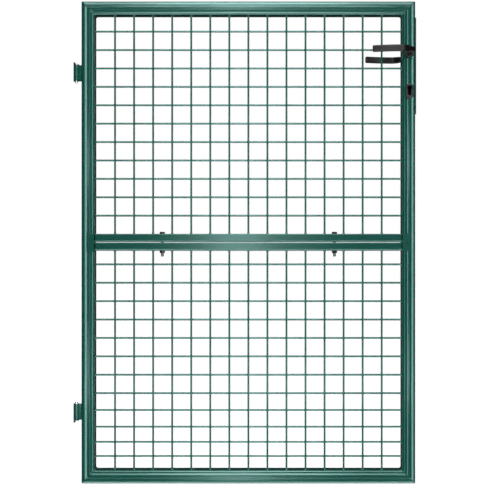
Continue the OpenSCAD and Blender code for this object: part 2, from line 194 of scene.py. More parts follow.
# %% Zinc-plated steel
def zinc_plate(name, dark, light):
    """Zinc plate that is cloudy between two greys."""
    material, tree, shader, where = new_material(name, light, Metallic=1.0, Roughness=0.3)
    clouded(tree, shader, where, 7, 4.0, dark, light)
    grained(tree, shader, where, 0.8, 2.0, 0.24, 0.42, 0.15, 0.05)
    return material


ZINC = zinc_plate("zinc_plated_steel", "#a9afae", "#d3d6d4")
BOLT_STEEL = zinc_plate("dark_zinc_plated_bolt_steel", "#5f6463", "#7b807e")
print("made", ZINC.name, BOLT_STEEL.name)

# %% [markdown]
# ## Black handle plastic and dark metals
# Levers and roses are moulded from black glass-filled polyamide: satin, with a fine even
# grain from the mould. The keyhole plates are steel under a dark grey satin enamel, and
# the lock's face plate is black. The key cylinder is almost pure black, which is painted
# shade: it makes the keyhole read as a dark hole. Polyamide and enamel have an IOR
# of about 1.5. It is lowered for levers, roses and keyhole plates to keep them dark under
# the strong cards, and nearly to 1 for the key cylinder, so that it hardly mirrors them.

# %% Satin black and dark grey finishes
def satin(name, base, low, high, grain_mm, depth_mm, strength, ior=1.5):
    """A satin dielectric finish whose roughness and height vary with a fine grain."""
    material, tree, shader, where = new_material(name, base, Roughness=high, IOR=ior)
    grained(tree, shader, where, grain_mm, 3.0, low, high, strength, depth_mm)
    return material


NYLON = satin("black_glass_filled_polyamide", "#0e0d0d", 0.34, 0.44, 0.6, 0.03, 0.2, 1.36)
PLATE = satin("dark_grey_satin_enamel", "#191a1a", 0.26, 0.36, 0.8, 0.02, 0.2, 1.4)
BLACK = satin("black_satin_enamel", "#101111", 0.3, 0.42, 0.8, 0.02, 0.2)
# Painted shade: the key cylinder's near-black finish hardly mirrors anything, so the keyhole looks like a
# dark hole.
KEYHOLE_SHADE = satin("key_cylinder_painted_as_keyhole_shade", "#020202", 0.6, 0.8, 0.8, 0.02, 0.2, 1.05)
print("made", NYLON.name, PLATE.name, BLACK.name, KEYHOLE_SHADE.name)

# %% [markdown]
# ## Shapes as points and faces
# Each shape here is a pair: a list of points and a list of faces. Shapes are then joined
# and turned into one Blender object. That keeps many small things, such as the wires of
# the mesh, in one object, and it needs no edit mode.

# %% Helpers that make and join shapes
def join(*shapes):
    """One shape from several."""
    points, faces = [], []
    for some_points, some_faces in shapes:
        start = len(points)
        points += some_points
        faces += [[start + i for i in face] for face in some_faces]
    return points, faces


def moved(shape, matrix):
    """The shape carried by a matrix, with its faces turned over if the matrix mirrors."""
    points = [matrix @ Vector(p) for p in shape[0]]
    flip = matrix.to_3x3().determinant() < 0
    return points, [list(reversed(f)) if flip else f for f in shape[1]]


def loft(rings, caps=True, closed=False):
    """Skin over rings with equal numbers of points; each ring turns the same way."""
    count = len(rings[0])
    points = [Vector(p) for ring in rings for p in ring]
    faces = []
    for i in range(len(rings) if closed else len(rings) - 1):
        a, b = i * count, (i + 1) % len(rings) * count
        faces += [[a + j, a + (j + 1) % count, b + (j + 1) % count, b + j] for j in range(count)]
    if caps and not closed:
        faces.append(list(range(count))[::-1])
        faces.append([len(points) - count + j for j in range(count)])
    return points, faces


def lathe(profile, steps=32, closed=False):
    """A profile of (radius, height) points turned about the Z axis."""
    rings = []
    for radius, height in profile:
        turns = [2 * math.pi * j / steps for j in range(steps)]
        rings.append([(radius * math.cos(t), radius * math.sin(t), height) for t in turns])
    return loft(rings, closed=closed)


def rounded(corners, steps=5):
    """Closed outline with each corner (x, y, radius) replaced by an arc."""
    outline = []
    for i, (x, y, radius) in enumerate(corners):
        here = Vector((x, y))
        before = (Vector(corners[i - 1][:2]) - here).normalized()
        after = (Vector(corners[(i + 1) % len(corners)][:2]) - here).normalized()
        half = before.angle(after) / 2
        centre = here + (before + after).normalized() * radius / math.sin(half)
        start = here + before * radius / math.tan(half) - centre
        end = here + after * radius / math.tan(half) - centre
        turn = start.angle_signed(end)
        for k in range(steps + 1):
            angle = -turn * k / steps
            outline.append(centre + Matrix.Rotation(angle, 2) @ start)
    return outline


def bevelled(shape, width, segments=3, above=40):
    """The shape with every edge sharper than an angle rounded over."""
    mesh = bmesh.new()
    for p in shape[0]:
        mesh.verts.new(p)
    mesh.verts.ensure_lookup_table()
    for face in shape[1]:
        mesh.faces.new([mesh.verts[i] for i in face])
    bmesh.ops.recalc_face_normals(mesh, faces=mesh.faces)
    sharp = [e for e in mesh.edges
             if len(e.link_faces) == 2 and e.calc_face_angle() > math.radians(above)]
    bmesh.ops.bevel(mesh, geom=sharp, offset=width, segments=segments, profile=0.5,
                    affect="EDGES", clamp_overlap=True)
    mesh.verts.ensure_lookup_table()
    points = [v.co.copy() for v in mesh.verts]
    faces = [[v.index for v in f.verts] for f in mesh.faces]
    mesh.free()
    return points, faces


def prism(outline, low, high):
    """An outline in X and Z carried along Y from low to high."""
    rings = [[(x, y, z) for x, z in outline] for y in (low, high)]
    return loft(rings)


def side_prism(outline, low, high):
    """An outline in Y and Z carried along X from low to high."""
    return loft([[(x, y, z) for y, z in outline] for x in (low, high)])


def block(low, high):
    """A box between two corners."""
    outline = [(low[0], low[2]), (high[0], low[2]), (high[0], high[2]), (low[0], high[2])]
    return prism(outline, low[1], high[1])


# %% [markdown]
# ## From a shape to a piece
# A piece is a Blender object that rides on a body of the frame, so that it swings with the
# leaf or turns with the handle. Faces are shaded smooth, except across edges sharper than
# the given angle.

# %% A piece of the gate
def solid_mesh(name, shape):
    """A mesh of a shape, with all its faces looking outwards."""
    mesh = bpy.data.meshes.new(name)
    mesh.from_pydata(shape[0], [], shape[1])
    mesh.validate()
    work = bmesh.new()
    work.from_mesh(mesh)
    bmesh.ops.recalc_face_normals(work, faces=work.faces)
    work.to_mesh(mesh)
    work.free()
    return mesh


def flats_stay_flat(body):
    """Lets large faces set the shading, so that small rounded edges don't bend the light on them."""
    modifier = body.modifiers.new("flats_stay_flat", "WEIGHTED_NORMAL")
    modifier.keep_sharp = True


def piece(name, shape, material, body, replaces=(), smooth=35):
    mesh = solid_mesh(name, shape)
    mesh.materials.append(material)
    mesh.shade_smooth()
    mesh.set_sharp_from_angle(angle=math.radians(smooth))
    made = bpy.data.objects.new(name, mesh)
    flats_stay_flat(made)
    scene.collection.objects.link(made)
    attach(made, body)
    if replaces:
        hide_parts(*replaces)
    print(f"{name}: {len(mesh.polygons)} faces")
    return made


# %% [markdown]
# ## The frame's profile
# The frame tube is rolled from one strip of steel. Seen from the front it has a proud
# rounded band along the outside, then a rebate with two shallow ridges, and it turns into
# the inner side with a soft edge. Each corner of the profile is given as its distance from
# the leaf's edge, its depth behind the front and its radius. Rolled steel never has a
# sharp corner, and those radii are what catch the light as long bright lines.

# %% Profile of the frame tube, in millimetres
BAND_W = 14
GROOVE_D = 3.0
OUTER_ROUND = 6.5
BACK_ROUND = 2.5
LIP_FROM = 28
tube_w_mm = TUBE_W / MM
tube_d_mm = TUBE_D / MM


def sloped(start, width, degrees):
    """The point reached from another one along a slope; a positive angle sinks inwards."""
    return start[0] + width, start[1] + width * math.tan(math.radians(degrees))


crown = (9.2, 0)
shoulder = sloped(crown, 1.9, 9.3)
band_foot = sloped(shoulder, 3.4, 24)
bump = (21.8, GROOVE_D - 0.2)
groove_foot = sloped(bump, 4.6, 29)
lip = (28.4, groove_foot[1] - 0.15)
lip_end = sloped(lip, tube_w_mm - lip[0], 24)
PROFILE = rounded([
    (*sloped(crown, -crown[0], -6), OUTER_ROUND),
    (*crown, 1),
    (*shoulder, 1),
    (*band_foot, 0.8),
    (BAND_W + 1.2, GROOVE_D, 0.6),
    (19.6, GROOVE_D, 1),
    (*bump, 2.5),
    (*groove_foot, 0.6),
    (groove_foot[0] + 1.2, groove_foot[1], 0.6),
    (*lip, 1),
    (*lip_end, tube_w_mm - LIP_FROM),
    (tube_w_mm, tube_d_mm, BACK_ROUND),
    (0, tube_d_mm, BACK_ROUND)])
print("profile points", len(PROFILE))

# %% [markdown]
# ## Sweeping the frame
# The four tubes are mitred, welded and ground flush before coating, so the corners show
# no joint: the ridges simply run round them. The profile is swept round a rectangle. Each
# point of the profile keeps its own small corner radius, so the corners stay crisp
# outside and a little softer inside.

# %% Frame swept round the leaf
CORNER_STEPS = 6
CORNER_ROUND = 2.5 * MM


def corner_loop(inset, depth, radius):
    """Rounded rectangle at one inset from the leaf's edge and one depth from its front."""
    loop = []
    x0, x1 = LEAF_X0 + inset + radius, LEAF_X1 - inset - radius
    z0, z1 = LEAF_Z0 + inset + radius, LEAF_Z1 - inset - radius
    for (x, z), start in zip(((x1, z1), (x0, z1), (x0, z0), (x1, z0)), (0, 90, 180, 270)):
        for k in range(CORNER_STEPS + 1):
            angle = math.radians(start + 90 * k / CORNER_STEPS)
            loop.append((x + radius * math.cos(angle), FRONT_Y + depth, z + radius * math.sin(angle)))
    return loop


def frame_shape():
    rings = []
    for u, v in PROFILE:
        radius = CORNER_ROUND * (1 + u / tube_w_mm)
        rings.append(corner_loop(u * MM, v * MM, radius))
    return loft(rings, closed=True)


# %% [markdown]
# The lock's keyhole goes right through the lock stile. It is cut with a Boolean modifier
# that is applied at once, so the hole has real walls round the key cylinder. The holes
# for the levers' necks and the spindle are left out here: both run through the walls of
# the tube, and the roses hide that.

# %% Keyhole outline and cutter
key_lo, key_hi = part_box("key_cylinder")
KEY_X = (key_lo.x + key_hi.x) / 2
KEY_R = (key_hi.x - key_lo.x) / 2
KEY_Z = key_hi.z - KEY_R
KEY_STEM_W = 9 * MM
KEY_GAP = 0.3 * MM
CUT_PAST = 5 * MM
KEY_LENGTH = key_hi.z - key_lo.z


def keyhole_outline(grow=0.0, steps=20):
    """Round top over a narrower stem with a round foot, about the round top's centre."""
    top, foot = KEY_R + grow, KEY_STEM_W / 2 + grow
    drop = KEY_LENGTH - KEY_R - KEY_STEM_W / 2
    side = math.asin(foot / top)
    outline = []
    for k in range(steps + 1):
        angle = -math.pi / 2 + side + (2 * math.pi - 2 * side) * k / steps
        outline.append((top * math.cos(angle), top * math.sin(angle)))
    for k in range(steps // 2 + 1):
        angle = math.pi + math.pi * k / (steps // 2)
        outline.append((foot * math.cos(angle), -drop + foot * math.sin(angle)))
    return outline


def cut(body, cutter_shape):
    """Cuts a shape out of an object's mesh."""
    cutter = bpy.data.objects.new("cutter", solid_mesh("cutter", cutter_shape))
    scene.collection.objects.link(cutter)
    modifier = body.modifiers.new("cut", "BOOLEAN")
    modifier.object = cutter
    modifier.solver = "EXACT"
    bpy.context.view_layer.update()
    result = bpy.data.meshes.new_from_object(body.evaluated_get(bpy.context.evaluated_depsgraph_get()))
    body.modifiers.clear()
    body.data = result
    flats_stay_flat(body)
    bpy.data.objects.remove(cutter)


# %% Frame tube with its keyhole
frame_tube = piece("frame_tube", frame_shape(), GREEN, "leaf",
                   ("left_stile", "right_stile", "top_rail", "bottom_rail"), smooth=25)
hole = prism([(KEY_X + x, KEY_Z + z) for x, z in keyhole_outline(KEY_GAP)],
             FRONT_Y - CUT_PAST, BACK_Y + CUT_PAST)
cut(frame_tube, hole)
print("frame after the cut:", len(frame_tube.data.polygons), "faces")

# %% [markdown]
# ## The two mid rails
# Two plain square tubes cross the middle of the leaf with a narrow gap between them. At
# each end the front wall of the tube is longer than the rest. It laps over the rebate of
# the stile, spreads a little and is welded down, and the two laps close the gap there.
# The lower front edge of each tube is rolled rounder than the upper one, and looks darker.

# %% Mid rails
MID_T = 1.8 * MM
MID_H = 21.5 * MM
SOFT_EDGE = 2.2 * MM
ROLLED_EDGE = 5.5 * MM
LAP_FLARE = 2 * MM
LAP_SHUT = 7 * MM
LAP_UNDER = 3 * MM
LAP_GAP = 0.05 * MM
upper_lo, upper_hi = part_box("upper_mid_rail")
MID_Z = (upper_lo.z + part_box("lower_mid_rail")[1].z) / 2
MID_TOP = upper_hi.z - LAP_FLARE
GAP = 2 * (MID_TOP - MID_Z - MID_H)
OPEN_X0, OPEN_X1 = left_hi.x, right_lo.x
print(f"mid rails {MID_H:.4f} m high with a gap of {GAP:.4f} m")


def mid_rail_shape(gap_edge, outer_edge):
    """A rail above the middle of the gap, with the radii of its two front edges, and its laps."""
    half = (OPEN_X1 - OPEN_X0) / 2
    lap = half + TUBE_W - BAND_W * MM
    low, high = GAP / 2, GAP / 2 + MID_H
    depth = upper_hi.y - upper_lo.y
    section = rounded([(0, low, gap_edge), (depth, low, SOFT_EDGE), (depth, high, SOFT_EDGE),
                       (0, high, outer_edge)])
    tube = side_prism(section, -half, half)
    laps = []
    for side in (-1, 1):
        outline = [(half - LAP_UNDER, low), (lap - LAP_SHUT, low), (lap - LAP_SHUT, LAP_GAP),
                   (lap, LAP_GAP), (lap, high + LAP_FLARE), (half, high), (half - LAP_UNDER, high)]
        flat = prism([(side * x, z) for x, z in outline], 0, MID_T)
        laps.append(bevelled(flat, 0.6 * MM, 2))
    return join(tube, *laps)


at_gap = Matrix.Translation((LEAF_XM, upper_lo.y, MID_Z))
turned = Matrix.Diagonal((1, 1, -1, 1))
upper_rail = moved(mid_rail_shape(ROLLED_EDGE, SOFT_EDGE), at_gap)
lower_rail = moved(mid_rail_shape(SOFT_EDGE, ROLLED_EDGE), at_gap @ turned)
piece("upper_rail_tube", upper_rail, GREEN, "leaf", ("upper_mid_rail",), smooth=25)
piece("lower_rail_tube", lower_rail, GREEN, "leaf", ("lower_mid_rail",), smooth=25)

# %% [markdown]
# ## The wire mesh
# Drawn steel wire, 5 mm thick, is welded at every crossing: the level wires lie behind
# the upright ones and sink into them by about half a millimetre. Their places are worked
# out from the same driving sizes as the construction. Each wire is a 12-sided bar with a
# collar of weld at both ends, and a small flattened bead stands for each weld between wires.

# %% Wires and weld beads
WIRE_R = 2.5 * MM
WELD_SINK = 0.6 * MM
COLLAR = [(1.6 * MM, 0), (0.8 * MM, 1 * MM), (0.3 * MM, 2.5 * MM), (0, 5 * MM)]
BEAD = (2.3 * MM, 1.2 * MM, 2.3 * MM)
UPRIGHT_PITCH = 49.6 * MM
UPRIGHT_COUNT = 15
LEVEL_PITCH = 48 * MM
FIRST_LEVEL = 75 * MM
FIRST_LOWER_LEVEL = 35.5 * MM
LOW_BAYS = [44 * MM, 43.5 * MM, 39.5 * MM, 37 * MM]
MESH_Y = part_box("upper_mesh")[0].y + WIRE_R
LEVEL_Y = MESH_Y + 2 * WIRE_R - WELD_SINK


def wire(start, end, sides=12):
    """A round wire between two points, with a collar of weld at each end."""
    line = Vector(end) - Vector(start)
    turn = line.to_track_quat("Z", "X").to_matrix().to_4x4()
    collar = [(WIRE_R + rise, along) for rise, along in COLLAR]
    profile = collar + [(r, line.length - along) for r, along in reversed(collar)]
    return moved(lathe(profile, sides), Matrix.Translation(start) @ turn)


def bead(centre, size):
    """A small rounded lump with the given half sizes."""
    rows = [math.radians(a) for a in (-75, -45, -15, 15, 45, 75)]
    unit = lathe([(math.cos(a), math.sin(a)) for a in rows], 8)
    return moved(unit, Matrix.Translation(centre) @ Matrix.Diagonal((*size, 1)))


def mesh_shape(z0, z1, levels):
    parts = []
    first = LEAF_XM - (UPRIGHT_COUNT - 1) / 2 * UPRIGHT_PITCH
    uprights = [first + i * UPRIGHT_PITCH for i in range(UPRIGHT_COUNT)]
    for x in uprights:
        parts.append(wire((x, MESH_Y, z0), (x, MESH_Y, z1)))
    for z in levels:
        parts.append(wire((OPEN_X0, LEVEL_Y, z), (OPEN_X1, LEVEL_Y, z)))
        for x in uprights:
            parts.append(bead((x, (MESH_Y + LEVEL_Y) / 2, z), BEAD))
    return join(*parts)


upper_levels = []
z = LEAF_Z1 - FIRST_LEVEL
while z > MID_TOP + 2 * WIRE_R:
    upper_levels.append(z)
    z -= LEVEL_PITCH
mid_bottom = 2 * MID_Z - MID_TOP
lower_levels = []
z = mid_bottom - FIRST_LOWER_LEVEL
while z >= LEAF_Z0 + TUBE_W + sum(LOW_BAYS) + LEVEL_PITCH / 2:
    lower_levels.append(z)
    z -= LEVEL_PITCH
for bay in LOW_BAYS:
    lower_levels.append(lower_levels[-1] - bay)
piece("upper_wire_mesh", mesh_shape(MID_TOP, LEAF_Z1 - TUBE_W, upper_levels), WIRE_GREEN_PAINTED_LIGHTER,
      "leaf", ("upper_mesh",), smooth=50)
piece("lower_wire_mesh", mesh_shape(LEAF_Z0 + TUBE_W, mid_bottom, lower_levels), WIRE_GREEN_PAINTED_LIGHTER,
      "leaf", ("lower_mesh",), smooth=50)
print("level wires", len(upper_levels), len(lower_levels))

# %% [markdown]
# ## Bolts and nuts
# Two M8 hexagon bolts clamp the mid rails together. A forged head has flats with the
# corners turned off at 30 degrees, which leaves a round face on top. The radius of a
# hexagon at an angle follows from its flats, and the chamfer cuts each corner down by a
# height that follows from that radius. The thread is a ridge that climbs 1.25 mm a turn.

# %% Hexagons and threads
BOLT_R = 4 * MM
THREAD_PITCH = 1.25 * MM
THREAD_DEPTH = 0.65 * MM
FACE_SHARE = 0.97


def hexagon(flat, height, both_ends=False):
    """A hexagonal prism across Z with 30 degree chamfers; flat is its inner radius."""
    angles = [math.radians(7.5 * k) for k in range(48)]
    face_r = FACE_SHARE * flat
    radii = [flat / math.cos((a + math.pi / 6) % (math.pi / 3) - math.pi / 6) for a in angles]

    def ring(z_of):
        return [(r * math.cos(a), r * math.sin(a), z_of(r)) for a, r in zip(angles, radii)]

    def circle(z):
        return [(face_r * math.cos(a), face_r * math.sin(a), z) for a in angles]

    slope = math.tan(math.radians(30))
    top = [ring(lambda r: height - (r - face_r) * slope), circle(height)]
    if both_ends:
        bottom = [circle(0), ring(lambda r: (r - face_r) * slope)]
    else:
        bottom = [ring(lambda r: 0)]
    return loft(bottom + top)


def thread(radius, low, high, columns=24, rows=6):
    """A threaded bar along Z: its radius rises and falls as the ridge climbs round it."""
    rings = []
    count = round((high - low) / THREAD_PITCH * rows)
    for i in range(count + 1):
        z = low + (high - low) * i / count
        ends = min(1, (z - low) / THREAD_PITCH, (high - z) / THREAD_PITCH)
        ring = []
        for j in range(columns):
            phase = (z / THREAD_PITCH - j / columns) % 1
            ridge = 1 - abs(2 * phase - 1)
            r = radius - THREAD_DEPTH * (1 - ridge * ends)
            angle = 2 * math.pi * j / columns
            ring.append((r * math.cos(angle), r * math.sin(angle), z))
        rings.append(ring)
    return loft(rings)


# %% Bolts and nuts in place
for side in ("left", "right"):
    bolt_lo, bolt_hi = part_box(side + "_bolt")
    nut_lo, nut_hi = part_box(side + "_nut")
    axis = Matrix.Translation(((bolt_lo.x + bolt_hi.x) / 2, (bolt_lo.y + bolt_hi.y) / 2, 0))
    flat = (bolt_hi.y - bolt_lo.y) / 2
    head = moved(hexagon(flat, bolt_hi.z - MID_TOP), Matrix.Translation((0, 0, MID_TOP)))
    shank = lathe([(BOLT_R, nut_hi.z), (BOLT_R, MID_TOP + 1 * MM)], 24)
    tail = thread(BOLT_R, bolt_lo.z, nut_hi.z)
    piece(side + "_hex_bolt", moved(join(head, shank, tail), axis), BOLT_STEEL, "leaf",
          (side + "_bolt",), smooth=28)
    nut = moved(hexagon(flat, nut_hi.z - nut_lo.z, True), Matrix.Translation((0, 0, nut_lo.z)))
    piece(side + "_hex_nut", moved(nut, axis), BOLT_STEEL, "leaf", (side + "_nut",),
          smooth=28)

# %% [markdown]
# ## Hinges
# A barrel welded to the leaf by a short strap turns on a steel pin. The pin stands in an
# arm of the post bracket, and the bracket's plate is screwed to the post. Barrel and
# strap are coated with the leaf, while pin and bracket stay zinc plated.

# %% Hinge barrels and pins
BARREL_D = 15 * MM
PIN_D = 10 * MM
STRAP_T = 8 * MM
SEAT = 0.3 * MM


def barrel_shape(length, reach):
    """A barrel along Z from 0 with its strap towards +X."""
    outer, inner, soft = BARREL_D / 2, PIN_D / 2 + 0.05 * MM, 0.6 * MM
    profile = [(inner, soft), (inner + soft, 0), (outer - soft, 0), (outer, soft),
               (outer, length - soft), (outer - soft, length), (inner + soft, length),
               (inner, length - soft)]
    tube = lathe(profile, 40, closed=True)
    strap = block((inner + 1 * MM, -STRAP_T / 2, 0.4 * MM), (reach, STRAP_T / 2, length - 0.4 * MM))
    return join(tube, bevelled(strap, 0.8 * MM, 2))


def pin_shape(low, high, tip):
    """A hinge pin along Z with a coned tip."""
    r = PIN_D / 2
    return lathe([(r - 0.4 * MM, low), (r, low + 0.4 * MM), (r, high - tip), (r * 0.9, high - tip * 0.8),
                  (r * 0.55, high - 0.3 * MM), (r * 0.45, high)], 32)


# %% Post brackets
PLATE_T = 4 * MM
ARM_LIP = 1.5 * MM


def bracket_shape(pin_x, pin_y, plate_d, plate_h, arm_h):
    """A bracket drawn about the pin with z = 0 at the barrel's outer end and z upwards along it."""
    r = BARREL_D / 2
    reach = -pin_y + plate_d / 2
    plan = [(r * math.cos(math.radians(a)), r * math.sin(math.radians(a)))
            for a in range(180, 361, 15)] + [(r, reach), (-r, reach)]

    def underside(x):
        """Lower face of the arm: full depth at the post side, sloping up to its thin end."""
        share = (x + r) / (2 * r)
        return -arm_h + (arm_h - ARM_LIP) * share

    rings = [[(x, y, z_of(x)) for x, y in plan] for z_of in (underside, lambda x: -SEAT)]
    arm = bevelled(loft(rings), 0.7 * MM, 2)
    corner = (-pin_x, -pin_y - plate_d / 2, -arm_h)
    plate = block(corner, (-pin_x + PLATE_T, reach, plate_h - arm_h))
    neck = block(corner, (-r + PLATE_T, reach, -SEAT))
    return join(arm, bevelled(plate, 0.6 * MM, 2), bevelled(neck, 0.6 * MM, 2))


# %% Hinges in place
for name, up in (("upper", -1), ("lower", 1)):
    barrel_lo, barrel_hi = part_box(name + "_barrel")
    pin_lo, pin_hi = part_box(name + "_pin")
    post_lo, post_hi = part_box(name + "_bracket")
    pin_x, pin_y = (pin_lo.x + pin_hi.x) / 2, (pin_lo.y + pin_hi.y) / 2
    outer_z = barrel_hi.z if up < 0 else barrel_lo.z
    length = barrel_hi.z - barrel_lo.z
    plate_h = post_hi.z - post_lo.z
    arm_h = (post_hi.z - outer_z) if up < 0 else (outer_z - post_lo.z)
    tip_h = (barrel_lo.z - pin_lo.z) if up < 0 else (pin_hi.z - barrel_hi.z)
    place = Matrix.Translation((pin_x, pin_y, outer_z)) @ Matrix.Diagonal((1, 1, up, 1))
    piece(name + "_hinge_barrel", moved(barrel_shape(length, barrel_hi.x - pin_x), place), GREEN,
          "leaf", (name + "_barrel",))
    root = (pin_hi.z - outer_z) if up < 0 else (outer_z - pin_lo.z)
    piece(name + "_hinge_pin", moved(pin_shape(-root, length + tip_h, tip_h), place), ZINC,
          "post_side", (name + "_pin",))
    plate_d = 2 * post_hi.y
    piece(name + "_post_bracket",
          moved(bracket_shape(pin_x, pin_y, plate_d, plate_h, arm_h), place), ZINC,
          "post_side", (name + "_bracket",))

# %% [markdown]
# ## The lock's face plate
# The lock slides into the stile through a slot in its outer edge, and the face plate
# covers that slot. It is a black strip with two screws, and openings for the latch and
# the dead bolt. Both bolts are short fixed ends that lie flush with the strip.

# %% Face plate, its screws and bolts
face_lo, face_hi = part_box("lock_face_plate")


def stadium(width, height, steps=16):
    """Outline of a strip with round ends, about its middle."""
    r, h = width / 2, (height - width) / 2
    top = [(r * math.cos(math.pi * k / steps), h + r * math.sin(math.pi * k / steps))
           for k in range(steps + 1)]
    return top + [(-x, -y) for x, y in top]


corner_r = 1.5 * MM
plate = side_prism(rounded([(face_lo.y, face_lo.z, corner_r), (face_hi.y, face_lo.z, corner_r),
                            (face_hi.y, face_hi.z, corner_r), (face_lo.y, face_hi.z, corner_r)]),
                   face_lo.x, face_hi.x)
face_plate = piece("lock_forend", bevelled(plate, 0.5 * MM, 2), BLACK, "leaf",
                   ("lock_face_plate",))
for name in ("latch_bolt", "dead_bolt"):
    lo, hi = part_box(name)
    gap = Vector((1 * MM, 0.3 * MM, 0.3 * MM))
    cut(face_plate, block(lo - gap, hi + gap))
    piece(name + "_end", bevelled(block(lo, hi), 0.8 * MM, 3), ZINC, "leaf", (name,))
for name in ("upper_plate_screw", "lower_plate_screw"):
    lo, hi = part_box(name)
    middle = (lo + hi) / 2
    r = (hi.z - lo.z) / 2
    top = hi.x - lo.x
    head = lathe([(r * 0.6, 0), (r, top - 0.8 * MM), (r, top - 0.3 * MM), (r * 0.8, top)], 24)
    place = Matrix.Translation((lo.x, middle.y, middle.z)) @ Matrix.Rotation(math.radians(90), 4, "Y")
    screw = piece(name + "_head", moved(head, place), ZINC, "leaf", (name,))
    for turn in (0, 90):
        slot_shape = block((top - 1 * MM, -1.6 * MM, -0.4 * MM), (top + 1 * MM, 1.6 * MM, 0.4 * MM))
        spin = Matrix.Rotation(math.radians(turn + 45), 4, "X")
        cut(screw, moved(slot_shape, Matrix.Translation((lo.x, middle.y, middle.z)) @ spin))
    hole_r = r + 0.05 * MM
    bore = moved(lathe([(hole_r, -1 * MM), (hole_r, 5 * MM)], 24), place)
    cut(face_plate, bore)

# %% [markdown]
# ## Keyhole plates and key cylinder
# A long plate with round ends and a soft rim frames the keyhole on each side. The cylinder
# lies deep behind it and is almost pure black, as painted shade, so that the keyhole looks
# like a dark hole.

# %% Keyhole plates
for side in ("front", "back"):
    lo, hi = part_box(side + "_keyhole_plate")
    width, height = hi.x - lo.x, hi.z - lo.z
    middle_x, middle_z = (lo.x + hi.x) / 2, (lo.z + hi.z) / 2
    outline = [(middle_x + x, middle_z + z) for x, z in stadium(width, height, 24)]
    plate = bevelled(prism(outline, lo.y, hi.y), 1.8 * MM, 4)
    made = piece(side + "_key_plate", plate, PLATE, "leaf", (side + "_keyhole_plate",))
    cut(made, prism([(KEY_X + x, KEY_Z + z) for x, z in keyhole_outline(KEY_GAP)],
                    lo.y - CUT_PAST, hi.y + CUT_PAST))

# The cylinder's near-black finish is painted shade for the keyhole.
cylinder = prism([(KEY_X + x, KEY_Z + z) for x, z in keyhole_outline()], key_lo.y, key_hi.y)
piece("key_cylinder_body", bevelled(cylinder, 0.4 * MM, 2), KEYHOLE_SHADE, "leaf",
      ("key_cylinder",))

# %% [markdown]
# ## Levers and roses
# The lever is one moulding. Its round neck ends in a sloping cut that becomes the sloping
# front of the grip. After a short bend the grip is a soft-edged bar that turns back a
# little at its tip. It is lofted through rings: each ring is a box with
# round corners, and at the neck those corners are so large that the box is a circle.

# %% Lever
spindle_lo, spindle_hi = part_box("spindle")
SPINDLE_X = (spindle_lo.x + spindle_hi.x) / 2
SPINDLE_Z = (spindle_lo.z + spindle_hi.z) / 2
NECK_R = 7 * MM
GRIP_OUT = 66 * MM
GRIP_L = 102 * MM
GRIP_H = 16.5 * MM
GRIP_T = 11 * MM
GRIP_R = 3 * MM
GRIP_START = 23 * MM
GRIP_SLOPE = math.radians(35)
TIP_RETURN = 11 * MM
TIP_ROUND = 2 * MM
EDGE_BLEND = 6 * MM


def grip_ring(at, tilt, half_h, half_t, radius, arc=8):
    """Box with round corners, square to the direction tilt: X to the tip, Y out, Z up."""
    ring = []
    for quarter in range(4):
        for k in range(arc + 1):
            angle = math.radians(90 * quarter + 5 + 80 * k / arc)
            middle = math.radians(90 * quarter + 45)
            h = radius * math.sin(angle) + math.copysign(half_h - radius, math.sin(middle))
            w = radius * math.cos(angle) + math.copysign(half_t - radius, math.cos(middle))
            ring.append((at[0] - w * math.sin(tilt), at[1] + w * math.cos(tilt), h))
    return ring


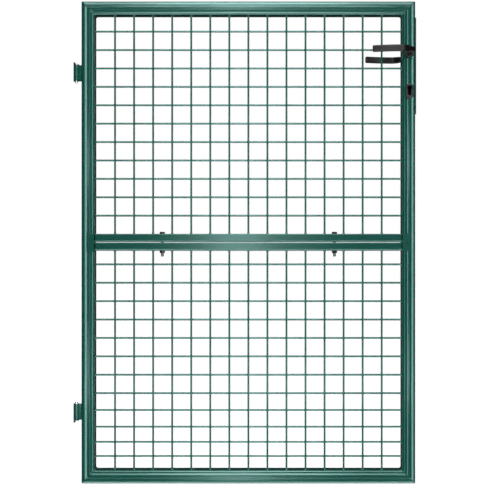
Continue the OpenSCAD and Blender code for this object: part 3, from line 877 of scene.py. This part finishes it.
def lever_shape():
    """The lever about its axis, with the leaf's face at y = 0."""
    front = GRIP_OUT + GRIP_T / 2
    right = front - (GRIP_START + NECK_R) * math.tan(GRIP_SLOPE)
    left = front - (GRIP_START - NECK_R) * math.tan(GRIP_SLOPE) - GRIP_T / math.cos(GRIP_SLOPE)
    cut_tilt = math.atan2(left - right, 2 * NECK_R)
    cut_at = (0, (left + right) / 2)
    edge_tilt = GRIP_SLOPE / 2
    edge_out = GRIP_T / 2 / math.cos(edge_tilt)
    edge_at = (GRIP_START + edge_out * math.sin(edge_tilt), front - edge_out * math.cos(edge_tilt))
    across = math.pi / 2
    rings = [grip_ring((0, y), across, NECK_R, NECK_R, NECK_R) for y in (-6 * MM, left - 8 * MM)]
    for k in range(4):
        share = k / 3
        at = (0, (left - 4 * MM) * (1 - share) + cut_at[1] * share)
        tilt = across + cut_tilt * share
        rings.append(grip_ring(at, tilt, NECK_R, NECK_R / math.cos(cut_tilt * share), NECK_R))
    start = (edge_at[0] - EDGE_BLEND * math.cos(GRIP_SLOPE), edge_at[1] - EDGE_BLEND * math.sin(GRIP_SLOPE))
    stop = (edge_at[0] + EDGE_BLEND, edge_at[1])
    for k in range(1, 8):
        share = k / 8
        ease = share * share * (3 - 2 * share)
        at = tuple(a + (b - a) * share for a, b in zip(cut_at, start))
        tilt = across + cut_tilt + (GRIP_SLOPE - across - cut_tilt) * min(1, share * 2.5)
        half_h = NECK_R + (GRIP_H / 2 - NECK_R) * ease
        half_t = NECK_R + (GRIP_T / 2 - NECK_R) * ease
        rings.append(grip_ring(at, tilt, half_h, half_t, NECK_R + (GRIP_R - NECK_R) * ease))
    for k in range(6):
        share = k / 5
        at = tuple((1 - share) ** 2 * a + 2 * share * (1 - share) * b + share ** 2 * c
                   for a, b, c in zip(start, edge_at, stop))
        rings.append(grip_ring(at, GRIP_SLOPE * (1 - share), GRIP_H / 2, GRIP_T / 2, GRIP_R))
    span = GRIP_L - stop[0]
    end = 1 - TIP_ROUND / span
    for k in range(1, 13):
        share = end * k / 12
        at = (stop[0] + span * share, stop[1] - TIP_RETURN * share ** 2)
        tilt = math.atan2(-2 * TIP_RETURN * share, span)
        rings.append(grip_ring(at, tilt, GRIP_H / 2, GRIP_T / 2, GRIP_R))
    for k in range(1, 5):
        angle = math.radians(90 * k / 4)
        share = end + (1 - end) * math.sin(angle)
        less = TIP_ROUND * (1 - math.cos(angle))
        at = (stop[0] + span * share, stop[1] - TIP_RETURN * share ** 2)
        tilt = math.atan2(-2 * TIP_RETURN * share, span)
        rings.append(grip_ring(at, tilt, GRIP_H / 2 - less, GRIP_T / 2 - less, GRIP_R - less / 2))
    return loft(rings)


# %% Roses and levers in place
ROSE_R = 12 * MM
ROSE_T = 5 * MM


def rose_shape():
    """A rose about its axis, standing on the leaf's face at y = 0 and growing to +y."""
    soft = 1.2 * MM
    turns = [math.radians(a) for a in (90, 67, 45, 22, 0)]
    arc = [(ROSE_R - soft + soft * math.sin(t), ROSE_T - soft + soft * math.cos(t)) for t in turns]
    inner = NECK_R + 0.05 * MM
    profile = [(inner, -6 * MM), (NECK_R + 1.5 * MM, -6 * MM), (NECK_R + 1.5 * MM, 0), (ROSE_R, 0)] + arc
    profile += [(inner + 0.4 * MM, ROSE_T), (inner, ROSE_T - 0.4 * MM)]
    turned_up = Matrix.Rotation(math.radians(-90), 4, "X")
    return moved(lathe(profile, 48, closed=True), turned_up)


for side, y, out in (("front", FRONT_Y, -1), ("back", BACK_Y, 1)):
    axis = Matrix.Translation((SPINDLE_X, y, SPINDLE_Z))
    piece(side + "_lever_grip", moved(lever_shape(), axis @ Matrix.Diagonal((-1, out, 1, 1))), NYLON,
          "handle", (side + "_lever",), smooth=30)
    piece(side + "_lever_rose", moved(rose_shape(), axis @ Matrix.Diagonal((1, out, 1, 1))), NYLON,
          "leaf", (side + "_rose",))

# %% [markdown]
# ## Pieces inside
# The lock case and the square spindle are hidden inside the stile and the handle. They
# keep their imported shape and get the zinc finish.

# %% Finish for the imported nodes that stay
for name in ("lock_case", "spindle"):
    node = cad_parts[name]
    node.data.materials.clear()
    node.data.materials.append(ZINC)

# %% [markdown]
# ## Floor and world
# The gate hangs a hand's breadth over a plain white floor. The camera sees floor and world
# as white through Light Path, so the white costs no extra light on the gate. Reflections
# see the world dimmed and no floor, as in a dark studio where only the lamps are bright.
# Near the gate the floor is painted and takes a shadow. Farther off the paint gets darker
# and the glow rises to the white of the world, so the floor ends without a horizon. Shadow
# rays pass the floor, because one reflection card lies below it and the tall ones reach
# below it.

# %% White floor that keeps the shadow
FLOOR_Z = LEAF_Z0 - 60 * MM
FLOOR_R = 12.0
FADE_FROM, FADE_TO = 0.5, 1.6
GLOW_NEAR, GLOW_FAR = 0.74, 1.03
PAINT_NEAR, PAINT_FAR = 0.8, 0.03
WORLD_FILL = 0.2
WORLD_REFLECTED = 0.02
FRONT_LIGHT = 5.6
BACK_LIGHT = 4.2


def white_floor():
    material = bpy.data.materials.new("white_floor")
    material.use_nodes = True
    tree = material.node_tree
    tree.nodes.clear()
    path = add_node(tree, "ShaderNodeLightPath")
    where = add_node(tree, "ShaderNodeTexCoord").outputs["Object"]
    away = add_node(tree, "ShaderNodeVectorMath", {0: where, 1: (LEAF_XM, FRONT_Y, FLOOR_Z)},
                    operation="DISTANCE")
    level = add_node(tree, "ShaderNodeMapRange", {"Value": away.outputs["Value"], "From Min": FADE_FROM,
                                                  "From Max": FADE_TO, "To Min": GLOW_NEAR,
                                                  "To Max": GLOW_FAR})
    shade = add_node(tree, "ShaderNodeMapRange", {"Value": away.outputs["Value"], "From Min": FADE_FROM,
                                                  "From Max": FADE_TO, "To Min": PAINT_NEAR,
                                                  "To Max": PAINT_FAR})
    paint = add_node(tree, "ShaderNodeBsdfDiffuse", {"Color": shade.outputs[0]})
    glow = add_node(tree, "ShaderNodeEmission", {"Color": linear("#ffffff"), "Strength": level.outputs[0]})
    seen = add_node(tree, "ShaderNodeAddShader", {0: paint.outputs[0], 1: glow.outputs[0]})
    clear = add_node(tree, "ShaderNodeBsdfTransparent")
    mirrored = add_node(tree, "ShaderNodeMath", {0: path.outputs["Is Glossy Ray"],
                                                 1: path.outputs["Is Transmission Ray"]}, operation="MAXIMUM")
    soft = add_node(tree, "ShaderNodeMixShader", {0: path.outputs["Is Camera Ray"], 1: paint.outputs[0],
                                                  2: seen.outputs[0]})
    passed = add_node(tree, "ShaderNodeMath", {0: mirrored.outputs[0], 1: path.outputs["Is Shadow Ray"]},
                      operation="MAXIMUM")
    mix = add_node(tree, "ShaderNodeMixShader", {0: passed.outputs[0], 1: soft.outputs[0],
                                                 2: clear.outputs[0]})
    add_node(tree, "ShaderNodeOutputMaterial", {"Surface": mix.outputs[0]})
    return material


floor_mesh = bpy.data.meshes.new("floor")
corners = [(FLOOR_R * math.cos(math.radians(a)), FLOOR_R * math.sin(math.radians(a)), FLOOR_Z)
           for a in range(0, 360, 10)]
floor_mesh.from_pydata(corners, [], [list(range(len(corners)))])
floor_mesh.materials.append(white_floor())
floor = bpy.data.objects.new("floor", floor_mesh)
scene.collection.objects.link(floor)

# %% World
def studio_world():
    world = bpy.data.worlds.new("studio")
    scene.world = world
    world.use_nodes = True
    tree = world.node_tree
    tree.nodes.clear()
    path = add_node(tree, "ShaderNodeLightPath")
    mirrored = add_node(tree, "ShaderNodeMath", {0: path.outputs["Is Glossy Ray"],
                                                 1: path.outputs["Is Transmission Ray"]}, operation="MAXIMUM")
    fill = add_node(tree, "ShaderNodeMix", {0: mirrored.outputs[0], 2: WORLD_FILL, 3: WORLD_REFLECTED})
    level = add_node(tree, "ShaderNodeMix", {0: path.outputs["Is Camera Ray"], 2: fill.outputs[0], 3: 1.0})
    light = add_node(tree, "ShaderNodeBackground", {"Color": linear("#ffffff"), "Strength": level.outputs[0]})
    add_node(tree, "ShaderNodeOutputWorld", {"Surface": light.outputs[0]})


studio_world()

# %% [markdown]
# ## Studio lamps
# Two kinds of lamp do two jobs. Large soft ones in front and behind light the colours
# evenly and leave no mirror image. Cards that only reflections see draw the highlights: a
# narrow strip behind the camera gives the sheen in the middle of the rails, a tall card
# at the right gives the bright lines along the stiles, and wide ones above and below give
# the lines along the top and bottom rails.

# %% Lamps
def lamp(name, place, width, height, radiance, facing=None, card=True):
    """A lamp at a place measured from the leaf's middle; a card is seen only in reflections."""
    light = bpy.data.lights.new(name, "AREA")
    light.shape = "RECTANGLE"
    light.size, light.size_y = width, height
    light.energy = radiance * width * height * math.pi
    made = bpy.data.objects.new(name, light)
    made.location = Vector((LEAF_XM, FRONT_Y, LEAF_ZM)) + Vector(place)
    aim = Vector(facing or place) * (1 if facing else -1)
    made.rotation_euler = aim.to_track_quat("-Z", "Y").to_euler()
    made.visible_camera = False
    made.visible_diffuse = not card
    made.visible_glossy = card
    scene.collection.objects.link(made)
    return made


lamp("front_fill", (0.0, -2.6, 0.35), 1.5, 1.5, FRONT_LIGHT, card=False)
lamp("back_fill", (0.0, 2.6, 0.6), 1.5, 1.5, BACK_LIGHT, card=False)
lamp("strip", (-0.06, -2.8, 0.0), 0.3, 3.2, 4.0)
lamp("strip_halo", (-0.03, -2.85, 0.0), 0.8, 3.2, 1.0)
lamp("high_front", (0.0, -2.0, 2.63), 1.1, 1.96, 7.5, (0, 0.79, -0.61))
lamp("high_front_halo", (0.0, -2.02, 2.66), 2.3, 1.96, 7.0, (0, 0.79, -0.61))
lamp("overhead", (0.0, -0.3, 1.6), 1.8, 0.3, 5.0, (0, 0, -1))
lamp("key", (1.32, -2.2, 0.0), 0.36, 3.0, 9.0)
lamp("low_front", (0.0, -1.74, -0.66), 1.28, 0.5, 8.0, (0, 0, 1))
lamp("under_front", (0.0, -0.55, -1.3), 2.0, 0.7, 11.0, (0, 0, 1))
for side in (-1, 1):
    for height in (0.43, -0.65):
        lamp("small_card", (0.95 * side, -2.6, height), 0.26, 0.26, 6.0)
    lamp("back_card", (1.9 * side, 2.2, 0.0), 0.5, 3.0, 4.0)
